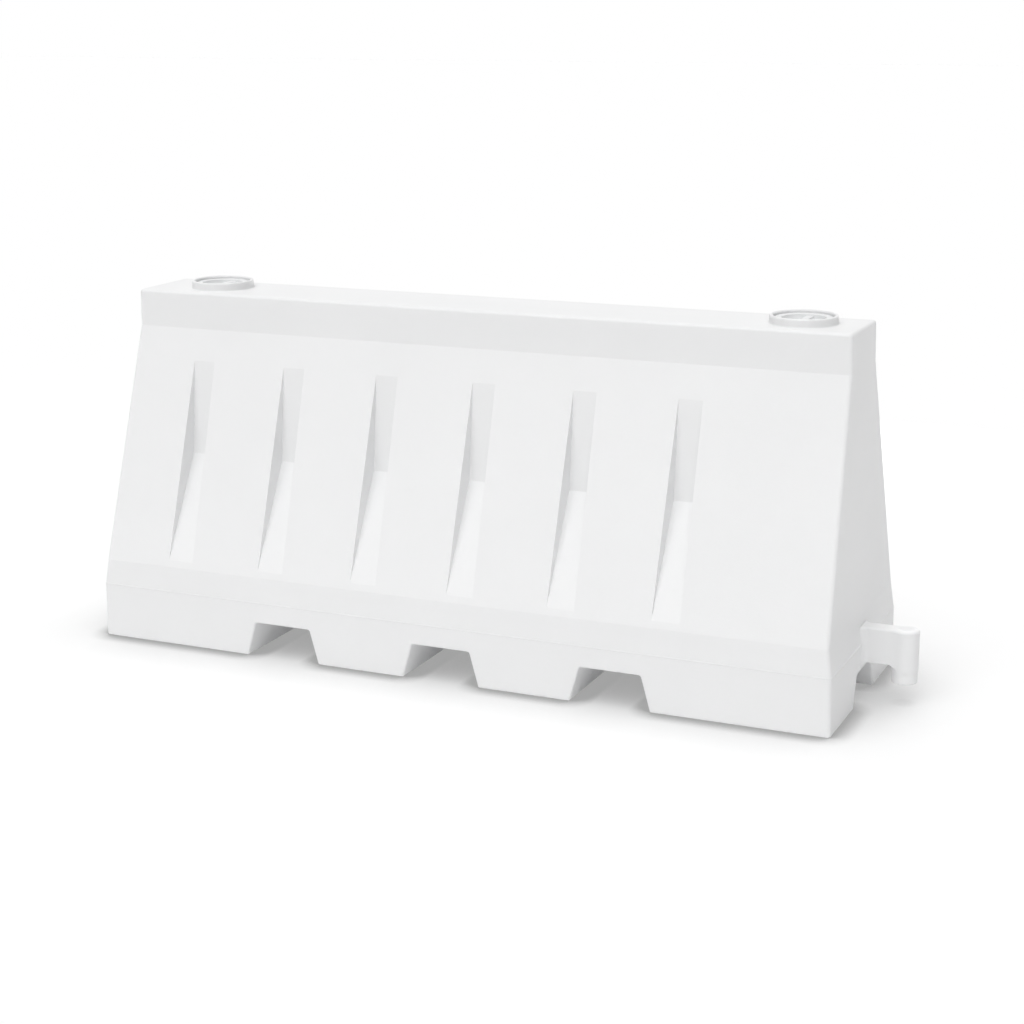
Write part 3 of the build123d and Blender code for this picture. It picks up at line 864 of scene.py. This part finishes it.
class BARRIER_OT_fittings(bpy.types.Operator):
    """Finish the rubber seals and the brass bushes."""

    bl_idname = "barrier.fittings"
    bl_label = "Seals and bushes"

    def execute(self, context):
        sizes = context.scene.barrier_fittings
        rubber = seal_rubber(sizes)
        for side in SIDES:
            paint(f"fill_seal_{side}", rubber)
            paint(f"drain_seal_{side}", rubber)
            axis = middle_of(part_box(f"drain_bush_{side}"))
            paint(f"drain_bush_{side}", turned_brass(f"bush_brass_{side}", sizes, axis))
        return {"FINISHED"}


class BARRIER_OT_stage(bpy.types.Operator):
    """Set up the pale floor, the soft light and the camera."""

    bl_idname = "barrier.stage"
    bl_label = "Stage"

    def execute(self, context):
        scene = context.scene
        sizes = scene.barrier_stage
        self.make_floor(scene, sizes)
        self.make_sky(scene, sizes)
        self.make_lamps(scene, sizes)
        self.make_camera(scene, sizes)
        scene.cycles.diffuse_bounces = sizes.bounces
        scene.view_settings.view_transform = "Standard"
        return {"FINISHED"}

    def make_floor(self, scene, sizes):
        """A pale floor with a soft contact shade painted into its colour where the object hems it in, which
        the camera sees mixed with plain white.
        """
        reach = sizes.floor_width / 2
        mesh = bpy.data.meshes.new("floor")
        mesh.from_pydata([(-reach, -reach, 0), (reach, -reach, 0), (reach, reach, 0), (-reach, reach, 0)], [],
                         [(0, 1, 2, 3)])
        floor = bpy.data.objects.new("floor", mesh)
        scene.collection.objects.link(floor)
        finish = Finish("floor_paper", Roughness=1.0, Specular_IOR_Level=0.0)
        seen = finish.seen_rays()
        # Painted shade: how hemmed in the floor is at the feet and under the tunnels darkens its colour for
        # the rays that the camera sees
        foot = finish.hemmed_in(sizes.foot_reach)
        under = finish.hemmed_in(sizes.under_reach)
        shade = foot * sizes.painted_foot_shade + finish.reckon("POWER", under, sizes.under_fall)
        near = finish.node("ShaderNodeClamp", inputs={"Value": shade})
        finish.feed(finish.shader.inputs["Base Color"],
                    finish.blend(near * seen, sizes.floor_colour, sizes.painted_floor_shade))
        white = finish.node("ShaderNodeEmission", inputs={"Color": WHITE, "Strength": 1.0})
        paper = Signal(finish, finish.shader.outputs[0])
        mixed = finish.node("ShaderNodeMixShader", inputs={0: seen * sizes.floor_glow, 1: paper, 2: white})
        finish.feed(finish.tree.nodes["Material Output"].inputs["Surface"], mixed)
        mesh.materials.append(finish.material)

    def make_sky(self, scene, sizes):
        """A white surround to the eye and to reflections, and a soft light overhead for all else."""
        scene.world = bpy.data.worlds.new("surround")
        scene.world.use_nodes = True
        sky = Builder(scene.world.node_tree)
        height = sky.part_of(sky.node("ShaderNodeTexCoord", output="Generated"), "Z")
        rise = (height - sizes.sky_start) / (1.0 - sizes.sky_start)
        strength = sizes.sky * sky.reckon("MAXIMUM", rise, 0.0)
        backdrop = sky.node("ShaderNodeBackground", inputs={"Color": WHITE, "Strength": 1.0})
        soft = sky.node("ShaderNodeBackground", inputs={"Color": WHITE, "Strength": strength})
        mixed = sky.node("ShaderNodeMixShader", inputs={0: sky.seen_rays(), 1: soft, 2: backdrop})
        sky.feed(sky.tree.nodes["World Output"].inputs["Surface"], mixed)

    def make_lamps(self, scene, sizes):
        """A wide light high in front, and a low panel that lights the back."""
        sun = bpy.data.lights.new("key_light", "SUN")
        sun.energy = sizes.key
        sun.angle = sizes.key_width
        key = bpy.data.objects.new("key_light", sun)
        key.rotation_euler.x = math.pi / 2 - sizes.key_height
        scene.collection.objects.link(key)
        panel = bpy.data.lights.new("back_light", "AREA")
        panel.shape = "RECTANGLE"
        panel.size, panel.size_y = sizes.back_size
        panel.energy = sizes.back
        back = bpy.data.objects.new("back_light", panel)
        back.location = sizes.back_place
        back.rotation_euler.x = -math.pi / 2
        back.visible_camera = False
        scene.collection.objects.link(back)

    def make_camera(self, scene, sizes):
        """A camera with the photo's view."""
        camera = bpy.data.objects.new("camera", bpy.data.cameras.new("camera"))
        camera.data.lens = sizes.lens
        turn = (Matrix.Rotation(sizes.heading, 4, "Z") @ Matrix.Rotation(math.pi / 2 - sizes.tilt, 4, "X")
                @ Matrix.Rotation(sizes.roll, 4, "Z"))
        camera.matrix_world = Matrix.Translation(sizes.eye) @ turn
        scene.collection.objects.link(camera)
        scene.camera = camera


class BARRIER_PT_panel(bpy.types.Panel):
    """Lists the barrier's pieces in the sidebar."""

    bl_idname = "BARRIER_PT_panel"
    bl_label = "Safety barrier"
    bl_space_type = "VIEW_3D"
    bl_region_type = "UI"
    bl_category = "Barrier"

    def draw(self, context):
        for operator in OPERATORS:
            self.layout.operator(operator.bl_idname)


OPERATORS = (BARRIER_OT_shell, BARRIER_OT_fittings, BARRIER_OT_filling, BARRIER_OT_drains, BARRIER_OT_stage)
GROUPS = {"barrier_shell": ShellSizes, "barrier_fill": FillSizes, "barrier_drain": DrainSizes,
          "barrier_fittings": FittingSizes, "barrier_stage": StageSizes}


def register():
    for name, group in GROUPS.items():
        bpy.utils.register_class(group)
        setattr(bpy.types.Scene, name, PointerProperty(type=group))
    for operator in OPERATORS:
        bpy.utils.register_class(operator)
    bpy.utils.register_class(BARRIER_PT_panel)


def unregister():
    bpy.utils.unregister_class(BARRIER_PT_panel)
    for operator in OPERATORS:
        bpy.utils.unregister_class(operator)
    for name, group in GROUPS.items():
        delattr(bpy.types.Scene, name)
        bpy.utils.unregister_class(group)


def main():
    register()
    bpy.ops.barrier.shell()
    bpy.ops.barrier.fittings()
    bpy.ops.barrier.filling()
    bpy.ops.barrier.drains()
    bpy.ops.barrier.stage()


if __name__ == "__main__":
    main()
